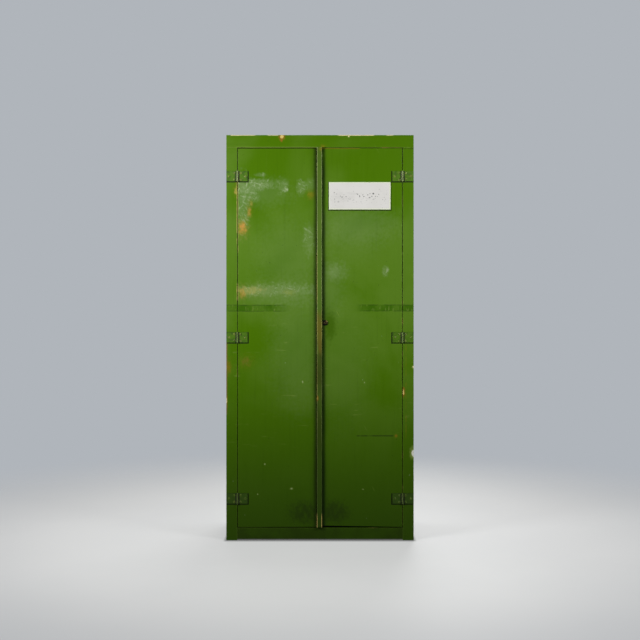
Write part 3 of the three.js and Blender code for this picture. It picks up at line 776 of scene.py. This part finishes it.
def plain_steel():
    """Dull steel with light rust in patches."""
    steel = Shader("dull_steel", STEEL_LIGHT, 0.38)
    steel.lay(steel.clouds(0.4, 0.65, 45, 4, shift=3.0), STEEL_DARK, 0.52)
    steel.lay((steel.clouds(0.6, 0.7, 90, 5, shift=9.0), 0.7), RUST, 0.75, 0.03)
    steel.height = steel.math("ADD", steel.height, steel.times(steel.noise(400, 2), 0.03 * MM))
    return steel.finish(metallic=0.7)


def dark_metal():
    """Tarnished brass, rubbed bright round the key slot, with a painted highlight at one side of the rim."""
    metal = Shader("dark_metal", TARNISH, 0.45)
    low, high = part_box("lock_rosette")
    x, z = (low.x + high.x) / 2, (low.z + high.z) / 2
    smear = metal.uneven(0.9, 320, 3)
    rubbed = metal.spot(x, z, 8.5 * MM, 8.5 * MM, smear, 0.7)
    metal.lay((rubbed, metal.clouds(0.4, 0.65, 500, 2, (0.2, 1, 1)), 0.55), TARNISH_RUBBED, 0.35)
    # A painted highlight at the upper right of the rim.
    painted_glint = metal.spot(x + 8 * MM, z + 8 * MM, 4.5 * MM, 4 * MM, smear, 0.9)
    metal.lay((painted_glint, 0.9), BRASS, 0.3)
    slot = metal.times(metal.band(metal.z, z - 2.4 * MM, z - 0.4 * MM, 1 * MM),
                       metal.band(metal.x, low.x + 2 * MM, high.x - 2 * MM, 1 * MM))
    metal.lay((slot, 0.7), BRASS, 0.35)
    metal.height = metal.times(metal.noise(260, 3), 0.06 * MM)
    return metal.finish(metallic=0.7)


def label_paint():
    """Off-white enamel with a pale greenish painted highlight round its rim, and faint grey specks where it
    has been scraped.
    """
    low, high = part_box("label_plate")
    plate = Shader("label_paint", LABEL_WHITE, 0.42)
    plate.lay((plate.clouds(0.4, 0.7, 12, 4), 0.3), LABEL_DULL, 0.5)
    rows = plate.most(
        plate.band(plate.z, high.z - 62 * MM, high.z - 52 * MM, 5 * MM),
        plate.times(plate.band(plate.z, high.z - 80 * MM, high.z - 70 * MM, 8 * MM), 0.9),
        plate.times(plate.band(plate.z, high.z - 96 * MM, high.z - 86 * MM, 10 * MM), 0.4),
    )
    inner = plate.band(plate.x, low.x + 24 * MM, high.x - 24 * MM, 12 * MM)
    specks = plate.clouds(0.64, 0.68, 150, 0.6, (0.7, 1, 1), 17.0)
    plate.lay((rows, inner, specks, 0.95), LABEL_GREY, 0.6, -0.05)
    plate.lay((plate.clouds(0.7, 0.75, 190, 2, shift=8.0), 0.5), LABEL_GREY, 0.6)
    plate.lay((plate.clouds(0.52, 0.7, 30, 4, (0.5, 1, 1), 23.0), rows, inner, 0.08), LABEL_GREY, 0.5)
    # A pale painted highlight round the rim.
    plate.lay((plate.smooth(plate.edge_distance(), 6 * MM, 3 * MM), 0.85), LABEL_RIM_HIGHLIGHT)
    plate.height = plate.times(plate.noise(40, 3), 0.15 * MM)
    return plate.finish()


def floor_paint():
    """Pale floor that fades to nothing at its rim, so that it has no hard horizon. It is lit up for the eye,
    and throws only a little light back on the object."""
    floor = Shader("studio_floor", FLOOR_LIGHT, 0.6, 0.2)
    floor.lay((floor.smooth(floor.noise(1.2, 4), 0.35, 0.7), 0.5), FLOOR_DULL)
    seen = floor.node("ShaderNodeLightPath").outputs["Is Camera Ray"]
    floor.colour = floor.mix(seen, FLOOR_BOUNCE, floor.colour)
    reach = floor.length(floor.vector("MULTIPLY", floor.place, (1, 1, 0)))
    low, high = CAD_BOX
    # The glow is mostly taken away under the object's footprint: a painted contact shadow.
    under = floor.times(
        floor.band(floor.x, low.x, high.x, CONTACT_SHADOW_SOFTNESS),
        floor.band(floor.y, low.y, high.y, CONTACT_SHADOW_SOFTNESS),
    )
    open_floor = floor.math("SUBTRACT", 1.0, floor.times(under, 0.8))
    floor.feed(floor.surface.inputs, {
        "Alpha": floor.smooth(reach, FLOOR_RADIUS, 0.35 * FLOOR_RADIUS),
        "Emission Strength": floor.times(seen, open_floor, FLOOR_GLOW),
        "Emission Color": (1, 1, 1, 1),
    })
    return floor.finish()


# Geometry

def dress(piece, material):
    """Gives a piece one material on all its faces."""
    piece.data.materials.clear()
    piece.data.materials.append(material)


def hold_box(piece, node):
    """Keeps a board's box on the piece, where the paint reads it to find the arrises."""
    piece["low"], piece["high"] = (list(corner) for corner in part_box(node))


def add_object(name, data):
    thing = bpy.data.objects.new(name, data)
    bpy.context.scene.collection.objects.link(thing)
    return thing


def add_mesh(name, shape, material):
    """Makes an object of one material from a bmesh in the row frame."""
    mesh = bpy.data.meshes.new(name)
    shape.to_mesh(mesh)
    shape.free()
    for layer in ("custom_normal", "sharp_face", "sharp_edge"):
        if layer in mesh.attributes:
            mesh.attributes.remove(mesh.attributes[layer])
    thing = add_object(name, mesh)
    dress(thing, material)
    return thing


def add_piece(name, shape, material, body):
    """Makes a piece that rides on a body."""
    piece = add_mesh(name, shape, material)
    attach(piece, body)
    return piece


def body_of(node):
    return next(body for body, nodes in frame["record"]["behaviour"]["bodies"].items() if node in nodes)


def worn_board(node, material):
    """A copy of a CAD board with rounded, nicked arrises, which stands for the board."""
    low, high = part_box(node)
    size = high - low
    shape = bmesh.new()
    shape.from_mesh(frame["nodes"][node].data)
    bmesh.ops.remove_doubles(shape, verts=shape.verts, dist=WELD)
    bmesh.ops.dissolve_limit(shape, angle_limit=math.radians(1), verts=shape.verts, edges=shape.edges)
    sharp = [edge for edge in shape.edges if edge.is_manifold and edge.calc_face_angle() > SHARP]
    bmesh.ops.bevel(shape, geom=sharp, offset=ARRIS * MM, segments=2, profile=0.5, affect="EDGES")
    longest = max(range(3), key=lambda axis: size[axis])
    steps = round(size[longest] / (NICK_PITCH * MM))
    normal = Vector([float(axis == longest) for axis in range(3)])
    for step in range(1, steps):
        cut = low + normal * (size[longest] * step / steps)
        everything = shape.verts[:] + shape.edges[:] + shape.faces[:]
        bmesh.ops.bisect_plane(shape, geom=everything, plane_co=cut, plane_no=normal)
    nick_arrises(shape, low, high)
    piece = add_piece(f"{node}_board", shape, material, body_of(node))
    piece.data.shade_smooth()
    piece.modifiers.new("flats", "WEIGHTED_NORMAL").weight = 100
    hold_box(piece, node)
    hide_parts(node)


def nick_arrises(shape, low, high):
    """Moves the vertices at the arrises inwards by an uneven amount, so that the board looks used."""
    for vertex in shape.verts:
        gaps = sorted((min(vertex.co[a] - low[a], high[a] - vertex.co[a]), a) for a in range(3))
        if gaps[1][0] > 2.5 * ARRIS * MM:
            continue
        depth = noise.noise(vertex.co * 23) * 0.7 + noise.noise(vertex.co * 71) * 0.5
        for _gap, axis in gaps[:2]:
            inward = 1 if vertex.co[axis] - low[axis] < high[axis] - vertex.co[axis] else -1
            vertex.co[axis] += inward * max(0.0, depth) * NICK_DEPTH * MM


def ease(node, width):
    """Rounds the arrises of a CAD node that is shown as it is."""
    piece = frame["nodes"][node]
    piece.modifiers.new("weld", "WELD").merge_threshold = WELD
    bevel = piece.modifiers.new("ease", "BEVEL")
    bevel.width = width * MM
    bevel.segments = 2
    bevel.limit_method = "ANGLE"
    bevel.angle_limit = SHARP
    bevel.use_clamp_overlap = True


def add_head(shape, centre, outward, turn, radius, rise, slot):
    """Adds a domed screw or nail head at centre, facing outward, with a slot turned by an angle."""
    normal = Vector(outward).normalized()
    first = Matrix.Rotation(turn, 3, normal) @ normal.orthogonal().normalized()
    axes = (first, normal.cross(first), normal)
    for half in (1, -1) if slot else (0,):
        add_dome(shape, centre, axes, half, radius, rise, slot)
    if slot:
        add_dome(shape, centre, axes, 0, radius * 0.97, rise * 0.25, 0)


def add_dome(shape, centre, axes, half, radius, rise, slot):
    """A closed dome, whole for half 0, or the part of it on one side of its slot for half 1 or -1."""
    first, second, normal = axes
    rings = 5
    sides = 8 if half else 16
    count = sides + 1 if half else sides
    wall = slot / 2 if half else 0.0
    rows = []
    for ring in range(rings):
        lean = math.pi / 2 * (rings - ring) / rings
        reach = wall + (radius - wall) * math.sin(lean)
        height = rise * math.cos(lean)
        limit = math.acos(min(1.0, wall / reach)) if half else math.pi
        row = []
        for index in range(count):
            angle = -limit + 2 * limit * index / sides
            out = reach * math.cos(angle) * (half or 1)
            along = reach * math.sin(angle) * (half or 1)
            row.append(shape.verts.new(centre + MM * (first * out + second * along + normal * height)))
        rows.append(row)
    for row, above in zip(rows, rows[1:]):
        for index in range(sides):
            after = (index + 1) % count
            shape.faces.new((row[index], row[after], above[after], above[index]))
    shape.faces.new(rows[-1])
    shape.faces.new(rows[0][::-1])
    if half:
        shape.faces.new([row[0] for row in rows] + [row[-1] for row in reversed(rows)])


def add_fixings(name, places, outward, style, material, body, seat=None):
    """One piece that holds the heads of several fixings, with a dark ring of painted shade and dirt round each
    if seat is given.
    """
    draw = random.Random(name)
    shape = bmesh.new()
    for place in places:
        add_head(shape, Vector(place), outward, draw.uniform(0, math.pi), **style)
    heads = len(shape.faces)
    if seat:
        for place in places:
            add_head(shape, Vector(place), outward, 0, style["radius"] + SEAT_MARGIN, SEAT_RISE, 0)
    shape.faces.ensure_lookup_table()
    for face in shape.faces[heads:]:
        face.material_index = 1
    bmesh.ops.recalc_face_normals(shape, faces=shape.faces)
    piece = add_piece(name, shape, material, body)
    if seat:
        piece.data.materials.append(seat)


def hinge_screws(material, seat):
    """Three screws in each leaf: two beside the knuckle and one near the outer end."""
    near, spread = 15.5, 16
    for side in SIDES:
        for level in LEVELS:
            pin_low, pin_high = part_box(f"hinge_pin_{side}_{level}")
            pin = (pin_low + pin_high) / 2
            for leaf, far in (("frame", 42), ("door", 38)):
                node = f"hinge_{leaf}_leaf_{side}_{level}"
                low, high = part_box(node)
                outward = 1 if (low.x + high.x) / 2 > pin.x else -1
                places = [(pin.x + outward * a * MM, high.y - LEAF * MM, pin.z + b * MM)
                          for a, b in ((near, spread), (near, -spread), (far, 0))]
                add_fixings(f"hinge_screws_{leaf}_{side}_{level}", places, (0, -1, 0), HINGE_SCREW,
                            material, body_of(node), seat)


def plate_screws(node, insets, material, seat, thickness=None):
    """Screws in a fitting's inner face, placed by shares of its width and height. The face is the fitting's
    back, or the back of a base plate of the given thickness."""
    low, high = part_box(node)
    face = high.y if thickness is None else low.y + thickness * MM
    places = [(low.x + a * (high.x - low.x), face, low.z + b * (high.z - low.z)) for a, b in insets]
    body = body_of(node)
    add_fixings(f"{node}_screws", places, (0, 1, 0), SMALL_SCREW, material, body, seat)


def flank_screws(name, node, outward, heights, shares, material):
    """Screws in the flank of a side board or cleat that faces outward, at shares of its depth."""
    low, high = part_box(node)
    face = high.x if outward > 0 else low.x
    places = [(face, low.y + share * (high.y - low.y), height) for height in heights for share in shares]
    add_fixings(name, places, (outward, 0, 0), LARGE_SCREW, material, "cabinet")


def middle_height(node):
    low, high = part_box(node)
    return (low.z + high.z) / 2


def cleat_screws(material):
    """Screws through the cleats of the shelf and the rack into the sides."""
    for kind in ("shelf", "rack"):
        for side, outward in zip(SIDES, (1, -1)):
            node = f"{kind}_cleat_{side}"
            heights = [middle_height(node)]
            flank_screws(f"{node}_screws", node, outward, heights, (0.2, 0.8), material)


def side_screws(material):
    """Screws through each side into the top, the floor, the shelf cleat and the rack cleat."""
    heights = [middle_height(node) for node in ("floor_panel", "rack_cleat_left", "shelf_cleat_left")]
    heights.append(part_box("side_panel_left")[1].z - 30 * MM)
    shares = (0.12, 0.5, 0.88)
    for side, outward in zip(SIDES, (-1, 1)):
        name, node = f"side_screws_{side}", f"side_panel_{side}"
        flank_screws(name, node, outward, heights, shares, material)


def nail_levels():
    """The heights of the panels that the back boards are nailed to."""
    return [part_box(node)[0].z + 10 * MM for node in ("floor_panel", "rack_rail", "upper_shelf", "top_panel")]


def nail_columns(boards=BACK_BOARDS):
    """Three columns of nails in each back board: one near each edge and one in the middle."""
    columns = []
    for board in boards:
        low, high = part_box(board)
        columns += [low.x + NAIL_INSET * MM, (low.x + high.x) / 2, high.x - NAIL_INSET * MM]
    return columns


def back_nails(material):
    """Nails through each back board into the panels before it, and down both outer edges into the sides."""
    for node in BACK_BOARDS:
        low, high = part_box(node)
        columns = nail_columns([node])
        places = [(x, high.y, z) for z in nail_levels() for x in columns]
        outer = {BACK_BOARDS[0]: columns[0], BACK_BOARDS[-1]: columns[-1]}.get(node)
        if outer is not None:
            pitch = (high.z - low.z) / NAIL_ROWS
            places += [(outer, high.y, low.z + pitch * (row + 0.5)) for row in range(NAIL_ROWS)]
        add_fixings(f"{node}_nails", places, (0, 1, 0), NAIL, material, "cabinet")


def door_pegs(material):
    """Two wooden pegs through the stile at each joint of a door's frame."""
    inset = 30 * MM
    for side in SIDES:
        places = []
        for stile in ("hinge", "meeting"):
            low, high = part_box(f"{side}_door_{stile}_stile")
            for rail in ("top", "middle", "bottom"):
                foot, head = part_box(f"{side}_door_{rail}_rail")
                edge = high.x if high.x <= foot.x + MM else low.x
                x = edge + math.copysign(inset, (low.x + high.x) / 2 - edge)
                places += [(x, high.y, foot.z + share * (head.z - foot.z)) for share in (0.28, 0.72)]
        add_fixings(f"{side}_door_pegs", places, (0, 1, 0), PEG, material, f"{side}_door")


def back_tongues(material):
    """A loose tongue in the joint between neighbouring back boards, which keeps the light out."""
    reach, thickness = 6 * MM, 3 * MM
    for number, (board, neighbour) in enumerate(zip(BACK_BOARDS, BACK_BOARDS[1:]), 1):
        (low, high), (after, _end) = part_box(board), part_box(neighbour)
        middle = (low.y + high.y) / 2
        corner = Vector((high.x - reach, middle - thickness / 2, low.z + 2 * MM))
        size = Vector((after.x + reach, middle + thickness / 2, high.z - 2 * MM)) - corner
        block = Matrix.Translation(corner + size / 2) @ Matrix.Diagonal((*size, 1))
        shape = bmesh.new()
        bmesh.ops.create_cube(shape, size=1, matrix=block)
        bmesh.ops.bevel(shape, geom=shape.edges, offset=0.5 * MM, segments=2, affect="EDGES")
        add_piece(f"back_tongue_{number}", shape, material, "cabinet")


# The whole object

def dress_object():
    """Gives every CAD node its material, and replaces the outer boards by worn copies."""
    wood = {grain: bare_wood(f"bare_wood_{grain}", grain) for grain in ("x", "z")}
    stop_wood = bare_wood("stop_wood", "x", "door_stop_top")
    by_slot = {"painted_steel": painted_steel(), "plain_steel": plain_steel()}
    steel = by_slot["plain_steel"]
    boards = {
        "left_door_skin": left_door_paint(),
        "right_door_skin": right_door_paint(),
        "frame_rail_top": top_rail_paint(),
        "frame_rail_bottom": bottom_rail_paint(),
        "frame_stile_left": stile_paint("left"),
        "frame_stile_right": stile_paint("right"),
        "meeting_strip": strip_paint(),
        "top_panel": top_paint(),
    }
    boards.update(dict.fromkeys(("side_panel_left", "side_panel_right"), side_paint()))
    boards.update(dict.fromkeys(BACK_BOARDS, back_paint()))
    by_slot.update({"dark_metal": dark_metal(), "label_paint": label_paint()})
    for node, piece in frame["nodes"].items():
        if node in boards:
            worn_board(node, boards[node])
            continue
        slot = piece.data.materials[0].name
        low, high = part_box(node)
        size = high - low
        grain = "z" if size.z > max(size.x, size.y) else "x"
        dress(piece, stop_wood if node in STOPS else by_slot.get(slot, wood[grain]))
        hold_box(piece, node)
        ease(node, INNER_ARRIS if slot == "inner_wood" else METAL_ARRIS)
    # Painted shade, with some dirt, round the screw heads and in the joints of the back.
    shade_and_grime = seat_shade_and_grime()
    hinge_screws(screw_paint(), shade_and_grime)
    plate_screws("lock_case", [(a, b) for a in (0.12, 0.88) for b in (0.12, 0.88)], steel, shade_and_grime)
    plate_screws("lock_keeper", [(0.25, 0.12), (0.25, 0.88)], steel, shade_and_grime)
    for bolt in ("upper_bolt", "lower_bolt"):
        insets = [(a, b) for a in (0.1, 0.9) for b in (0.22, 0.5, 0.78)]
        plate_screws(f"{bolt}_guide", insets, steel, shade_and_grime, GUIDE_PLATE)
    cleat_screws(steel)
    door_pegs(wood["z"])
    # The back tongues take the dark seat colour, so the joints show as painted shade.
    back_tongues(shade_and_grime)
    back_nails(steel)
    side_screws(plain_paint())


def add_floor():
    shape = bmesh.new()
    bmesh.ops.create_circle(shape, cap_ends=True, segments=96, radius=FLOOR_RADIUS)
    add_mesh("studio_floor", shape, floor_paint())


def add_light(name, place, target, width, height, power, spread):
    """A soft studio light that faces target."""
    light = bpy.data.lights.new(name, "AREA")
    light.shape = "RECTANGLE"
    light.size = width
    light.size_y = height
    light.energy = power
    light.spread = math.radians(spread)
    lamp = add_object(name, light)
    lamp.location = place
    lamp.rotation_euler = (Vector(target) - Vector(place)).to_track_quat("-Z", "Y").to_euler()


def add_studio():
    """A pale room with two high lights left and right, and weaker ones above and behind."""
    world = bpy.data.worlds.new("studio")
    world.use_nodes = True
    bpy.context.scene.world = world
    tree = world.node_tree
    background = tree.nodes["Background"]
    path = tree.nodes.new("ShaderNodeLightPath")
    strength = tree.nodes.new("ShaderNodeMix")
    strength.inputs[2].default_value = ROOM_LIGHT
    strength.inputs[3].default_value = 1.0
    tree.links.new(path.outputs["Is Camera Ray"], strength.inputs[0])
    background.inputs["Color"].default_value = WALL
    tree.links.new(strength.outputs[0], background.inputs["Strength"])
    for light in LIGHTS:
        add_light(*light)
    bpy.context.scene.view_settings.view_transform = "Standard"


def add_camera():
    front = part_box("left_door_skin")[0].y
    camera = bpy.data.cameras.new("camera")
    camera.lens = CAMERA_LENS
    camera.sensor_width = 36
    holder = add_object("camera", camera)
    holder.location = (0, front - CAMERA_DISTANCE, CAMERA_HEIGHT)
    holder.rotation_euler = (math.radians(90), 0, 0)
    bpy.context.scene.camera = holder


add_camera()
add_studio()
add_floor()
dress_object()
